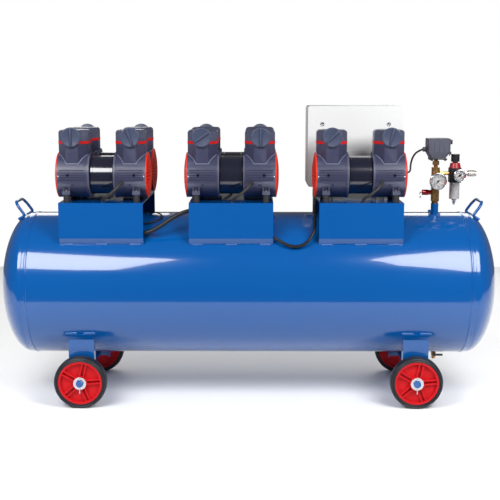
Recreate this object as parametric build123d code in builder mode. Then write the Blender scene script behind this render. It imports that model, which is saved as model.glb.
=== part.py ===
from build123d import *
from math import cos, degrees, pi, radians, sin, sqrt, tan
import os

# A horizontal, wheeled 300 litre air compressor with five twin-cylinder oil-free pumps.
# Millimetres, +Z up. The origin is on the floor under the middle of the tank, +X runs along
# the tank towards the air outlet, and -Y is the front.

os.makedirs("parts", exist_ok=True)

# ---------------------------------------------------------------- driving dimensions

tank_axis_z = 389
tank_radius = 245
tank_wall = 4
tank_half_length = 850
shell_half_length = 732
dome_flange = 18
dome_depth = tank_half_length - shell_half_length - dome_flange
weld_bead = 1.8

saddle_spacing = 429
saddle_middle_x = -57
saddle_length = 278
saddle_half_width = 195
saddle_top_z = 689
saddle_sheet = 4
skirt_bottom_z = 571
saddle_xs = [saddle_middle_x + step * saddle_spacing for step in (-1, 0, 1)]

wheel_x = 563
wheel_radius = 88
tyre_width = 40
wheel_inner_y = 197
rim_radius = 73.5
axle_radius = 12
axle_half_length = 246
leg_width = 86
leg_plate = 5
leg_y = 189

crank_height = 85          # crank axis above the saddle top
crank_throw = 7
head_x = 95                # cylinder centre from the pump's middle
barrel_radius = 75
barrel_start = 40
barrel_end = 146
stator_radius = 64
shaft_radius = 7.5
bore_radius = 32.4
piston_radius = 25
block_top = 105.5          # heights from here on are above the crank axis
gasket_thick = 9
head_top = 151
cap_radius = 32.5
cap_height = 128
foot_x = 115.6
foot_y = 66
foot_height = 25
lug_thick = 12
pump_y = 97

box_left = 205
box_right = 534
box_front = 30
box_back = 190
box_bottom = 720
box_top = 1000
box_sheet = 2

group_x = 640              # the pressure group's upright
group_y = -30
air_line_z = 773
gauge_z = 750
valve_z = 708
regulator_x = 706
drain_x = 658

running_fit = 0.05
gap = 0.3

# Pump places on the saddle tops. The two rear pumps are turned to face the back.
pump_places = [Location((x, -pump_y, saddle_top_z)) for x in saddle_xs]
pump_places += [Location((x, pump_y, saddle_top_z), (0, 0, 180)) for x in saddle_xs[:2]]


def across(x, y=0, z=0):
    """A plane facing +X at x, with its own x along world Y and its own y along world Z."""
    return Plane(origin=(x, y, z), x_dir=(0, 1, 0), z_dir=(1, 0, 0))


def facing_front(x, y, z):
    """A plane facing -Y, with its own x along world X and its own y along world Z."""
    return Plane(origin=(x, y, z), x_dir=(1, 0, 0), z_dir=(0, -1, 0))


def surface_y(radius, height):
    """How far out a round body of that radius reaches at a height from its axis."""
    return sqrt(radius**2 - height**2)


def cable_radii(points):
    """The bend radius at each inner point of a cable's route: as large as its runs allow."""
    radii = []
    for before, here, after in zip(points, points[1:], points[2:]):
        arriving = Vector(here) - Vector(before)
        leaving = Vector(after) - Vector(here)
        turn = radians(arriving.get_angle(leaving))
        radii.append(0.45 * min(arriving.length, leaving.length) / tan(turn / 2))
    return radii


def report_cable(name, points, diameter, volume):
    """Print a cable's bends, and its volume beside its section times its length."""
    radii = cable_radii(points)
    route = FilletPolyline(*points, radius=radii)
    expected = pi * diameter**2 / 4 * route.length
    print(f"{name}: tightest bend {min(radii):.0f}, length {route.length:.0f},",
          f"volume {volume:.0f} of {expected:.0f}")


# ---------------------------------------------------------------- tank

with BuildPart() as tank_shell:
    with BuildSketch(across(-shell_half_length, 0, tank_axis_z)):
        Circle(tank_radius)
        Circle(tank_radius - tank_wall, mode=Mode.SUBTRACT)
    extrude(amount=2 * shell_half_length)
    with BuildSketch(Plane.XY.offset(tank_axis_z)):
        with Locations((group_x, group_y)):
            Circle(13)
    extrude(amount=tank_radius, mode=Mode.SUBTRACT)
    with BuildSketch(Plane.XY.offset(tank_axis_z - tank_radius - 5)):
        with Locations((drain_x, 0)):
            Circle(8)
    extrude(amount=20, mode=Mode.SUBTRACT)
tank_shell.part.label = "tank_shell"
export_step(tank_shell.part, "parts/tank_shell.step")

with BuildPart() as tank_ends:
    inner_radius = tank_radius - tank_wall
    flange_end = shell_half_length + dome_flange
    bead_radius = tank_radius + weld_bead
    with BuildSketch(facing_front(0, 0, tank_axis_z)):
        with BuildLine():
            Polyline(
                (shell_half_length, inner_radius),
                (shell_half_length, bead_radius),
                (shell_half_length + 7, bead_radius),
                (shell_half_length + 9, tank_radius),
                (flange_end, tank_radius),
            )
            EllipticalCenterArc((flange_end, 0), dome_depth, tank_radius, 0, arc_size=90)
            Line((tank_half_length, 0), (tank_half_length - tank_wall, 0))
            EllipticalCenterArc(
                (flange_end, 0), dome_depth - tank_wall, inner_radius, 0, arc_size=90
            )
            Line((flange_end, inner_radius), (shell_half_length, inner_radius))
        make_face()
    revolve(axis=Axis((0, 0, tank_axis_z), (1, 0, 0)))
    mirror(about=Plane.YZ)
tank_ends.part.label = "tank_ends"
export_step(tank_ends.part, "parts/tank_ends.step")

# The welded sockets: one on top for the pressure group, one below for the drain.
with BuildPart() as tank_sockets:
    with BuildSketch(Plane.XY.offset(624)):
        with Locations((group_x, group_y)):
            Circle(12.8)
            Circle(8, mode=Mode.SUBTRACT)
    extrude(amount=46)
    with BuildSketch(Plane.XY.offset(136)):
        with Locations((drain_x, 0)):
            Circle(7.8)
            Circle(4, mode=Mode.SUBTRACT)
    extrude(amount=16)
tank_sockets.part.label = "tank_sockets"
export_step(tank_sockets.part, "parts/tank_sockets.step")

# Each lifting handle is one bent rod: a loop leaning outwards, and two feet laid down the dome.
handle_rod = 10
handle_y = 62
handle_foot = (788, 617.5)
handle_heel = (766, 630)
handle_crown = (799, 676)
with BuildPart() as lifting_handles:
    handle_points = [
        (handle_foot[0], -handle_y, handle_foot[1]),
        (handle_heel[0], -handle_y, handle_heel[1]),
        (handle_crown[0], -handle_y, handle_crown[1]),
        (handle_crown[0], handle_y, handle_crown[1]),
        (handle_heel[0], handle_y, handle_heel[1]),
        (handle_foot[0], handle_y, handle_foot[1]),
    ]
    with BuildLine():
        FilletPolyline(*handle_points, radius=[7, 28, 28, 7])
    heel = Vector(*handle_points[0])
    with BuildSketch(Plane(origin=heel, z_dir=Vector(*handle_points[1]) - heel)):
        Circle(handle_rod / 2)
    sweep()
    mirror(about=Plane.YZ)
lifting_handles.part.label = "lifting_handles"
export_step(lifting_handles.part, "parts/lifting_handles.step")

# ---------------------------------------------------------------- saddles

skirt_foot = (surface_y(tank_radius + 1.8, 163), tank_axis_z + 163)
saddle_outline = [
    (-skirt_foot[0], skirt_foot[1]),
    (-saddle_half_width, skirt_bottom_z),
    (-saddle_half_width, saddle_top_z),
    (saddle_half_width, saddle_top_z),
    (saddle_half_width, skirt_bottom_z),
    (skirt_foot[0], skirt_foot[1]),
]
lead_hole_y = -68
lead_hole_radius = 8.5

for side, saddle_x in zip(("left", "middle", "right"), saddle_xs):
    with BuildPart() as saddle:
        with BuildSketch(across(saddle_x - saddle_length / 2)):
            with BuildLine():
                sheet_line = Polyline(*saddle_outline)
                offset(sheet_line, amount=-saddle_sheet, side=Side.RIGHT)
            make_face()
        extrude(amount=saddle_length)
        for place in pump_places:
            if abs(place.position.X - saddle_x) > 1:
                continue
            with Locations(place):
                with GridLocations(2 * foot_x, 2 * foot_y, 2, 2):
                    Hole(3.3, depth=2 * saddle_sheet)
                with Locations((0, lead_hole_y)):
                    Hole(lead_hole_radius, depth=2 * saddle_sheet)
    saddle.part.label = f"saddle_{side}"
    export_step(saddle.part, f"parts/saddle_{side}.step")

# ---------------------------------------------------------------- wheels

leg_bottom_z = 68
lip_top = (surface_y(tank_radius + gap, 139), tank_axis_z - 139)
lip_root = (surface_y(tank_radius + gap, 160), tank_axis_z - 160)
flange_depth = 26
with BuildPart() as leg_brackets:
    with BuildSketch(across(wheel_x - leg_width / 2)):
        with BuildLine():
            Polyline(
                lip_top,
                (lip_top[0] + 3.3, lip_top[1] - 2.3),
                (leg_y, lip_root[1] - 2.5),
                (leg_y, leg_bottom_z),
                (leg_y - leg_plate, leg_bottom_z),
                (leg_y - leg_plate, lip_root[1] - 2.5),
                lip_root,
                close=True,
            )
        make_face()
    extrude(amount=leg_width)
    with BuildSketch(Plane.XY.offset(leg_bottom_z)):
        with Locations((wheel_x, leg_y - 1 - flange_depth / 2)):
            with GridLocations(leg_width - leg_plate, 0, 2, 1):
                Rectangle(leg_plate, flange_depth)
    extrude(amount=165)
    with BuildSketch(across(0, 0, tank_axis_z)):
        Circle(tank_radius + gap)
    extrude(amount=wheel_x + leg_width, mode=Mode.SUBTRACT)
    with BuildSketch(Plane.XZ.offset(-leg_y - 1)):
        with Locations((wheel_x, wheel_radius)):
            Circle(axle_radius + running_fit)
    extrude(amount=leg_plate + 2, mode=Mode.SUBTRACT)
    mirror(about=Plane.XZ)
    mirror(about=Plane.YZ)
leg_brackets.part.label = "leg_brackets"
export_step(leg_brackets.part, "parts/leg_brackets.step")

with BuildPart() as axles:
    with BuildSketch(Plane.XZ.offset(-axle_half_length)):
        with Locations((wheel_x, wheel_radius), (-wheel_x, wheel_radius)):
            Circle(axle_radius)
    extrude(amount=2 * axle_half_length)
    chamfer(axles.edges().filter_by(GeomType.CIRCLE), 1.5)
    with BuildSketch(Plane.XY.offset(wheel_radius - 20)):
        with GridLocations(2 * wheel_x, 2 * 242, 2, 2):
            Circle(1.8)
    extrude(amount=40, mode=Mode.SUBTRACT)
axles.part.label = "axles"
export_step(axles.part, "parts/axles.step")

# A washer and a split pin keep each wheel on its axle.
with BuildPart() as axle_fasteners:
    with BuildSketch(Plane.XZ.offset(237.6)):
        with Locations((wheel_x, wheel_radius)):
            Circle(21.5)
            Circle(axle_radius + 0.2, mode=Mode.SUBTRACT)
    extrude(amount=2)
    with BuildSketch(Plane(origin=(wheel_x, -242, wheel_radius - 34), z_dir=(0, 0, 1))):
        Circle(1.6)
    extrude(amount=52)
    with BuildSketch(Plane.XZ.offset(240.8)):
        with Locations((wheel_x, wheel_radius + 19)):
            Circle(4.5)
            Circle(1.5, mode=Mode.SUBTRACT)
    extrude(amount=2.4)
    mirror(about=Plane.XZ)
    mirror(about=Plane.YZ)
axle_fasteners.part.label = "axle_fasteners"
export_step(axle_fasteners.part, "parts/axle_fasteners.step")

wheel_middle_y = wheel_inner_y + tyre_width / 2
rib_pairs = 5
for end, x in (("left", -wheel_x), ("right", wheel_x)):
    for side, sign in (("front", -1), ("rear", 1)):
        middle = Plane(
            origin=(x, sign * wheel_middle_y, wheel_radius), x_dir=(1, 0, 0), z_dir=(0, sign, 0)
        )
        with BuildPart() as wheel:
            with BuildSketch(middle):
                Circle(rim_radius)
            extrude(amount=17, both=True)
            with BuildSketch(middle.offset(5)):
                Circle(rim_radius - 7)
                Circle(24, mode=Mode.SUBTRACT)
            extrude(amount=20, mode=Mode.SUBTRACT)
            with BuildSketch(middle.offset(-5)):
                Circle(rim_radius - 7)
                Circle(24, mode=Mode.SUBTRACT)
            extrude(amount=-20, mode=Mode.SUBTRACT)
            with BuildSketch(middle):
                Circle(20)
            extrude(amount=tyre_width / 2, both=True)
            with BuildSketch(middle.offset(4)):
                with PolarLocations(45, rib_pairs, start_angle=-5 * sign):
                    with GridLocations(0, 13, 1, 2):
                        Rectangle(46, 4)
            extrude(amount=11)
            with BuildSketch(middle.offset(-tyre_width)):
                Circle(axle_radius + running_fit)
            extrude(amount=2 * tyre_width, mode=Mode.SUBTRACT)
        wheel.part.label = f"wheel_{side}_{end}"
        export_step(wheel.part, f"parts/wheel_{side}_{end}.step")

        with BuildPart() as tyre:
            with BuildSketch(middle):
                Circle(wheel_radius)
                Circle(rim_radius + running_fit, mode=Mode.SUBTRACT)
            extrude(amount=tyre_width / 2, both=True)
            fillet(tyre.edges().filter_by(GeomType.CIRCLE).group_by(SortBy.RADIUS)[-1], 6)
        tyre.part.label = f"tyre_{side}_{end}"
        export_step(tyre.part, f"parts/tyre_{side}_{end}.step")

# ---------------------------------------------------------------- pumps
# Each piece is drawn once for a pump whose saddle top is at z 0, then put at all five places.

facet_half = 20
block_half = 50
block_front = 63
chamfer_start = 25
wall_inner = 56            # crank chamber and fan chamber, along the shaft
chamber_start = 62
chamber_end = 124
fan_chamber_start = 129


def block_outline(grow=0):
    """The eight-sided plan of one cylinder block, grown all round by an amount."""
    side = block_half + grow
    front = block_front + grow
    corner = facet_half + grow / 2
    shoulder = chamfer_start + grow / 2
    with BuildSketch() as outline:
        Polygon(
            (-corner, -front), (corner, -front), (side, -shoulder), (side, shoulder),
            (corner, front), (-corner, front), (-side, shoulder), (-side, -shoulder),
        )
    return outline.sketch


def over_head(height):
    """A level plane through the right cylinder's axis, at a height above the crank axis."""
    return Plane(origin=(head_x, 0, crank_height + height))


with BuildPart() as crankcase_pair:
    with BuildSketch(across(barrel_start, 0, crank_height)):
        Circle(barrel_radius)
    extrude(amount=barrel_end - barrel_start)
    with BuildSketch(across(barrel_start, 0, crank_height)):
        Circle(barrel_radius + 2)
    extrude(amount=8)
    with BuildSketch(over_head(20)):
        add(block_outline())
    extrude(amount=block_top - 20)
    lug_bottom = foot_height - crank_height
    with BuildSketch(over_head(lug_bottom)):
        with Locations((foot_x - head_x, 0)):
            with GridLocations(0, 2 * (foot_y - 6), 1, 2):
                Rectangle(25, 36)
    extrude(amount=lug_thick)
    with BuildSketch(over_head(lug_bottom + lug_thick)):
        with Locations((foot_x - head_x, 0)):
            with GridLocations(19, 2 * (foot_y - 9), 2, 2):
                Rectangle(6, 22)
    extrude(amount=13)
    groove_depth = 1.5
    for level in (20, 12, 4, -4, -12):
        reach = surface_y(barrel_radius, level) - groove_depth
        with BuildSketch(across(53, 0, crank_height + level)):
            with Locations((reach + 5, 0), (-reach - 5, 0)):
                Rectangle(10, 2.4)
        extrude(amount=136 - 53, mode=Mode.SUBTRACT)
    with BuildSketch(Plane.XZ.offset(barrel_radius - 8)):
        with Locations((109, crank_height + 3.5), (94.5, crank_height - 31)):
            Circle(5)
    extrude(amount=20, mode=Mode.SUBTRACT)
    for start, end, radius in (
        (barrel_start, wall_inner, 62),
        (chamber_start, chamber_end, 66),
        (fan_chamber_start, barrel_end, 70),
        (wall_inner, chamber_start, 13),
        (chamber_end, fan_chamber_start, 13),
    ):
        with BuildSketch(across(start, 0, crank_height)):
            Circle(radius)
        extrude(amount=end - start, mode=Mode.SUBTRACT)
    with BuildSketch(over_head(40)):
        Circle(bore_radius)
    extrude(amount=block_top - 40, mode=Mode.SUBTRACT)
    with BuildSketch(Plane.XY):
        with Locations((foot_x, -foot_y), (foot_x, foot_y)):
            Circle(3.3)
    extrude(amount=foot_height + lug_thick, mode=Mode.SUBTRACT)
    mirror(about=Plane.YZ)
    with BuildSketch(Plane.XZ.offset(barrel_radius - 7)):
        with Locations((67, crank_height - 21)):
            Circle(5.5)
    extrude(amount=20, mode=Mode.SUBTRACT)

with BuildPart() as crankcases:
    with Locations(*pump_places):
        add(crankcase_pair.part)
crankcases.part.label = "crankcases"
export_step(crankcases.part, "parts/crankcases.step")

# Wound stators: the laminated ring, and the end turns that reach into the crankcases.
with BuildPart() as stator:
    with BuildSketch(across(-barrel_start, 0, crank_height)):
        Circle(stator_radius)
        Circle(35, mode=Mode.SUBTRACT)
    extrude(amount=2 * barrel_start)
    for start in (-barrel_start - 13, barrel_start):
        with BuildSketch(across(start, 0, crank_height)):
            Circle(58)
            Circle(38, mode=Mode.SUBTRACT)
        extrude(amount=13)

with BuildPart() as stators:
    with Locations(*pump_places):
        add(stator.part)
stators.part.label = "stators"
export_step(stators.part, "parts/stators.step")

with BuildPart() as bearing_set:
    for start in (-fan_chamber_start, -chamber_start, wall_inner, chamber_end):
        width = 5 if abs(start) > 100 else 6
        with BuildSketch(across(start, 0, crank_height)):
            Circle(12.95)
            Circle(shaft_radius + running_fit, mode=Mode.SUBTRACT)
        extrude(amount=width)

with BuildPart() as bearings:
    with Locations(*pump_places):
        add(bearing_set.part)
bearings.part.label = "bearings"
export_step(bearings.part, "parts/bearings.step")

with BuildPart() as head_pair:
    with BuildSketch(over_head(block_top + gasket_thick)):
        add(block_outline())
    extrude(amount=head_top - block_top - gasket_thick)
    fillet(head_pair.faces().sort_by(Axis.Z)[-1].edges(), 11)
    with BuildSketch(over_head(block_top + gasket_thick)):
        add(block_outline(-8))
    extrude(amount=20, mode=Mode.SUBTRACT)
    with BuildSketch(Plane.XZ.offset(block_front - 6)):
        with Locations((head_x + 2, crank_height + cap_height)):
            Circle(9)
    extrude(amount=12, mode=Mode.SUBTRACT)
    mirror(about=Plane.YZ)

with BuildPart() as cylinder_heads:
    with Locations(*pump_places):
        add(head_pair.part)
cylinder_heads.part.label = "cylinder_heads"
export_step(cylinder_heads.part, "parts/cylinder_heads.step")

with BuildPart() as gasket_pair:
    with BuildSketch(over_head(block_top)):
        add(block_outline(0.8))
        with GridLocations(30, 0, 2, 1):
            Circle(5, mode=Mode.SUBTRACT)
    extrude(amount=gasket_thick)
    mirror(about=Plane.YZ)

with BuildPart() as head_gaskets:
    with Locations(*pump_places):
        add(gasket_pair.part)
head_gaskets.part.label = "head_gaskets"
export_step(head_gaskets.part, "parts/head_gaskets.step")

# Intake filter caps, each with its grip ridge turned as it was last left.
ridge_angles = [(90, 110), (35, 90), (45, 76), (90, 60), (80, 90)]
cap_back = block_front + 1.2
with BuildPart() as filter_caps:
    for place, angles in zip(pump_places, ridge_angles):
        for side, angle in zip((-1, 1), angles):
            with BuildPart(mode=Mode.PRIVATE) as cap:
                cap_x = side * (head_x + 2)
                front = facing_front(cap_x, -cap_back, crank_height + cap_height)
                with BuildSketch(front):
                    Circle(cap_radius)
                extrude(amount=10)
                with BuildSketch(front.offset(10)):
                    Rectangle(2 * cap_radius - 6, 9, rotation=angle)
                extrude(amount=4)
                with BuildSketch(front):
                    Circle(8.8)
                extrude(amount=-cap_back + block_front - 5)
            with Locations(place):
                add(cap.part)
filter_caps.part.label = "filter_caps"
export_step(filter_caps.part, "parts/filter_caps.step")

# The red guards: shallow slotted domes over both cooling fans.
guard_radius = 75.5
guard_dome = 158 - barrel_end
guard_sheet = 2.5
guard_hub = 14
rim = barrel_end + 0.1
shoulder = rim + 4
crest = rim + guard_dome
with BuildPart() as guard_pair:
    with BuildSketch(facing_front(0, 0, crank_height)):
        with BuildLine():
            Polyline(
                (crest - guard_sheet, guard_hub),
                (crest - guard_sheet, 0),
                (crest, 0),
                (crest, guard_hub),
            )
            ThreePointArc((crest, guard_hub), (crest - 2, 45), (shoulder, guard_radius))
            Polyline(
                (shoulder, guard_radius),
                (rim, guard_radius),
                (rim, guard_radius - guard_sheet),
                (shoulder - 1, guard_radius - guard_sheet),
            )
            ThreePointArc(
                (shoulder - 1, guard_radius - guard_sheet),
                (crest - 2.2 - guard_sheet, 45),
                (crest - guard_sheet, guard_hub),
            )
        make_face()
    revolve(axis=Axis((0, 0, crank_height), (1, 0, 0)))
    with BuildSketch(across(barrel_end, 0, crank_height)):
        with PolarLocations(34, 18):
            Rectangle(22, 4.5)
        with PolarLocations(60, 36):
            Rectangle(18, 4.5)
    extrude(amount=20, mode=Mode.SUBTRACT)
    mirror(about=Plane.YZ)

with BuildPart() as fan_guards:
    with Locations(*pump_places):
        add(guard_pair.part)
fan_guards.part.label = "fan_guards"
export_step(fan_guards.part, "parts/fan_guards.step")

with BuildPart() as rubber_foot:
    with BuildSketch(Plane.XY):
        Circle(11)
        Circle(3.3, mode=Mode.SUBTRACT)
    extrude(amount=foot_height)
    fillet(rubber_foot.edges().filter_by(GeomType.CIRCLE).group_by(SortBy.RADIUS)[-1], 1.5)

with BuildPart() as rubber_feet:
    with Locations(*pump_places):
        with GridLocations(2 * foot_x, 2 * foot_y, 2, 2):
            add(rubber_foot.part)
rubber_feet.part.label = "rubber_feet"
export_step(rubber_feet.part, "parts/rubber_feet.step")

with BuildPart() as foot_bolt:
    with BuildSketch(Plane.XY.offset(foot_height + lug_thick)):
        RegularPolygon(4.6, 6)
    extrude(amount=4)
    with BuildSketch(Plane.XY.offset(-saddle_sheet)):
        RegularPolygon(5.8, 6)
    extrude(amount=-5)
    with BuildSketch(Plane.XY.offset(-saddle_sheet - 8)):
        Circle(3)
    extrude(amount=saddle_sheet + 8 + foot_height + lug_thick + 1)

with BuildPart() as foot_bolts:
    with Locations(*pump_places):
        with GridLocations(2 * foot_x, 2 * foot_y, 2, 2):
            add(foot_bolt.part)
foot_bolts.part.label = "foot_bolts"
export_step(foot_bolts.part, "parts/foot_bolts.step")

# ---------------------------------------------------------------- what turns inside each pump

eccentric_radius = 18
eccentric_width = 14
fan_start = 131
fan_width = 12
with BuildPart() as rotor_shape:
    with BuildSketch(across(-fan_start - fan_width, 0, crank_height)):
        Circle(shaft_radius)
    extrude(amount=2 * (fan_start + fan_width))
    with BuildSketch(across(head_x - eccentric_width / 2, 0, crank_height + crank_throw)):
        Circle(eccentric_radius)
    extrude(amount=eccentric_width)
    with BuildSketch(across(head_x - eccentric_width / 2 - 8, 0, crank_height)):
        Circle(30)
        Rectangle(80, 60, align=(Align.CENTER, Align.MIN), mode=Mode.SUBTRACT)
        Circle(14)
    extrude(amount=7)
    with BuildSketch(across(fan_start, 0, crank_height)):
        Circle(16)
    extrude(amount=fan_width)
    with BuildSketch(across(fan_start, 0, crank_height)):
        Circle(40)
        with PolarLocations(40, 9):
            Rectangle(52, 2.5, rotation=8)
    extrude(amount=2)
    with BuildSketch(across(fan_start, 0, crank_height)):
        with PolarLocations(40, 9):
            Rectangle(50, 2.5)
    extrude(amount=fan_width)
    mirror(about=Plane.YZ)
    with BuildSketch(across(-38, 0, crank_height)):
        Circle(34.4)
    extrude(amount=76)

# A rocking piston is one piece with its rod: big end, shank and disc.
with BuildPart() as rod_pair_shape:
    with BuildSketch(across(head_x - 6, 0, crank_height + crank_throw)):
        Circle(26)
        with Locations((0, 50)):
            Rectangle(14, 66)
        Circle(eccentric_radius + running_fit, mode=Mode.SUBTRACT)
    extrude(amount=12)
    with BuildSketch(over_head(89)):
        Circle(piston_radius)
    extrude(amount=14)
    mirror(about=Plane.YZ)

for number, place in enumerate(pump_places, start=1):
    with BuildPart() as rotor:
        with Locations(place):
            add(rotor_shape.part)
    rotor.part.label = f"rotor_{number}"
    export_step(rotor.part, f"parts/rotor_{number}.step")
    with BuildPart() as rocking_pistons:
        with Locations(place):
            add(rod_pair_shape.part)
    rocking_pistons.part.label = f"pistons_{number}"
    export_step(rocking_pistons.part, f"parts/pistons_{number}.step")

# ---------------------------------------------------------------- control box

box_middle_x = (box_left + box_right) / 2
box_width = box_right - box_left
box_height = box_top - box_bottom
box_depth = box_back - box_front
gland_y = 100
gland_z = 762
supply_gland_z = 740
with BuildPart() as control_box:
    with BuildSketch(Plane.XZ.offset(-box_back)):
        with Locations((box_middle_x, (box_bottom + box_top) / 2)):
            Rectangle(box_width, box_height)
    extrude(amount=box_depth)
    fillet(control_box.edges().filter_by(Axis.Y), 9)
    with BuildSketch(Plane.XZ.offset(-box_back)):
        with Locations((box_middle_x, (box_bottom + box_top) / 2)):
            Rectangle(box_width - 2 * box_sheet, box_height - 2 * box_sheet)
    extrude(amount=box_depth - box_sheet, mode=Mode.SUBTRACT)
    with BuildSketch(Plane.XZ.offset(-box_front)):
        with Locations((box_middle_x, box_top - 62)):
            with GridLocations(230, 0, 2, 1):
                Circle(5)
    extrude(amount=-2 * box_sheet, mode=Mode.SUBTRACT)
    with BuildSketch(across(box_right, gland_y, gland_z)):
        Circle(9)
        Circle(3.6, mode=Mode.SUBTRACT)
    extrude(amount=14)
    with BuildSketch(across(box_right, 160, supply_gland_z)):
        Circle(12)
    extrude(amount=20)
    with BuildSketch(across(box_right, 160, supply_gland_z)):
        Circle(7)
    extrude(amount=24, both=True, mode=Mode.SUBTRACT)
control_box.part.label = "control_box"
export_step(control_box.part, "parts/control_box.step")

door_gap = 1
door_sheet = 2
door_depth = 14
door_y = box_back + door_gap
latch_x = box_left + 26
latch_z = 860
with BuildPart() as control_box_door:
    with BuildSketch(Plane.XZ.offset(-door_y - door_depth)):
        with Locations((box_middle_x, (box_bottom + box_top) / 2)):
            Rectangle(box_width, box_height)
    extrude(amount=door_depth)
    fillet(control_box_door.edges().filter_by(Axis.Y), 9)
    with BuildSketch(Plane.XZ.offset(-door_y)):
        with Locations((box_middle_x, (box_bottom + box_top) / 2)):
            Rectangle(box_width - 2 * door_sheet, box_height - 2 * door_sheet)
    extrude(amount=-door_depth + door_sheet, mode=Mode.SUBTRACT)
    with BuildSketch(Plane.XZ.offset(-door_y - door_depth)):
        with Locations((latch_x, latch_z)):
            Circle(9.3)
    extrude(amount=door_sheet, mode=Mode.SUBTRACT)
control_box_door.part.label = "control_box_door"
export_step(control_box_door.part, "parts/control_box_door.step")

# A quarter-turn lock: round nose outside, cam behind the door, inside the box's mouth.
with BuildPart() as door_latch:
    with BuildSketch(Plane.XZ.offset(-door_y - door_depth - 5)):
        with Locations((latch_x, latch_z)):
            Circle(12)
            Rectangle(3, 14, mode=Mode.SUBTRACT)
    extrude(amount=4.8)
    with BuildSketch(Plane.XZ.offset(-door_y - door_depth - 1)):
        with Locations((latch_x, latch_z)):
            Circle(9)
    extrude(amount=16)
    with BuildSketch(Plane.XZ.offset(-door_y - 3)):
        with Locations((latch_x, latch_z - 12)):
            Rectangle(12, 38)
    extrude(amount=3)
door_latch.part.label = "door_latch"
export_step(door_latch.part, "parts/door_latch.step")

with BuildPart() as box_rails:
    rail_height = box_bottom - saddle_top_z
    with BuildSketch(Plane.XZ.offset(-176)):
        with Locations((box_middle_x - 90, saddle_top_z), (box_middle_x + 90, saddle_top_z)):
            Rectangle(30, rail_height, align=(Align.CENTER, Align.MIN))
            with Locations((0, 3)):
                Rectangle(
                    24, rail_height - 6, align=(Align.CENTER, Align.MIN), mode=Mode.SUBTRACT
                )
    extrude(amount=136)
box_rails.part.label = "box_rails"
export_step(box_rails.part, "parts/box_rails.step")

# ---------------------------------------------------------------- pressure group

column = Plane(origin=(group_x, group_y, 0))
front_y = group_y - 12
gauge_front_y = -84
with BuildPart() as manifold:
    with BuildSketch(column.offset(670)):
        Circle(11)
    extrude(amount=8)
    with BuildSketch(column.offset(678)):
        Rectangle(24.5, 24.5)
    extrude(amount=116)
    chamfer(manifold.edges().filter_by(Axis.Z).group_by(SortBy.LENGTH)[-1], 1.5)
    with BuildSketch(facing_front(group_x, front_y, gauge_z)):
        Circle(6)
    extrude(amount=18)
    with BuildSketch(column.offset(794)):
        Circle(7)
    extrude(amount=31)
    with BuildSketch(column.offset(802)):
        RegularPolygon(11.5, 6)
    extrude(amount=14)
    with BuildSketch(across(group_x, group_y, air_line_z)):
        Circle(6)
    extrude(amount=46)
    with BuildSketch(across(group_x + 15, group_y, air_line_z)):
        RegularPolygon(9, 6)
    extrude(amount=12)
manifold.part.label = "manifold"
export_step(manifold.part, "parts/manifold.step")

valve_left = group_x - 12.25
with BuildPart() as safety_valve:
    with BuildSketch(across(valve_left - 12, group_y, valve_z)):
        RegularPolygon(9, 6)
    extrude(amount=12)
    with BuildSketch(across(valve_left - 32, group_y, valve_z)):
        Circle(9.5)
    extrude(amount=20)
    with BuildSketch(across(valve_left - 32, group_y, valve_z)):
        Circle(2.4)
    extrude(amount=14, mode=Mode.SUBTRACT)
safety_valve.part.label = "safety_valve"
export_step(safety_valve.part, "parts/safety_valve.step")

# The pull pin with its ring hanging from the outer end.
pin_tip = valve_left - 38
with BuildPart() as safety_ring:
    with BuildSketch(across(pin_tip - 1.5, group_y, valve_z)):
        Circle(2.3)
    extrude(amount=17)
    with BuildSketch(across(pin_tip - 1.2, group_y, valve_z - 10)):
        Circle(10)
        Circle(8.2, mode=Mode.SUBTRACT)
    extrude(amount=1.8)
safety_ring.part.label = "safety_ring"
export_step(safety_ring.part, "parts/safety_ring.step")

for name, x, z, radius, back_y in (
    ("main_gauge", group_x + 1, gauge_z, 29, front_y - 18),
    ("regulator_gauge", regulator_x + 7, air_line_z - 3, 21, group_y - 20 - 14),
):
    face_y = -gauge_front_y
    with BuildPart() as gauge:
        with BuildSketch(Plane.XZ.offset(-back_y)):
            with Locations((x, z)):
                Circle(radius)
        extrude(amount=face_y + back_y)
        fillet(gauge.faces().sort_by(Axis.Y)[-1].edges(), 4)
        with BuildSketch(Plane.XZ.offset(face_y - 7)):
            with Locations((x, z)):
                Circle(radius - 3)
        extrude(amount=7, mode=Mode.SUBTRACT)
        with BuildSketch(Plane.XZ.offset(face_y - 7)):
            with Locations((x, z)):
                Circle(2)
        extrude(amount=0.8)
        with BuildSketch(Plane.XZ.offset(face_y - 2)):
            with Locations((x, z)):
                Circle(radius - 3 - running_fit)
        extrude(amount=1.5)
    gauge.part.label = name
    export_step(gauge.part, f"parts/{name}.step")
    with BuildPart() as needle:
        needle_plane = Plane.XZ.offset(face_y - 6)
        with BuildSketch(needle_plane):
            with Locations((x, z)):
                Circle(3.4)
                with Locations(Location((0, 0), -135)):
                    Rectangle(radius - 9, 1.4, align=(Align.MIN, Align.CENTER))
                    Rectangle(8, 2.6, align=(Align.MAX, Align.CENTER))
        extrude(amount=1)
    needle.part.label = f"{name}_needle"
    export_step(needle.part, f"parts/{name}_needle.step")

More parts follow.
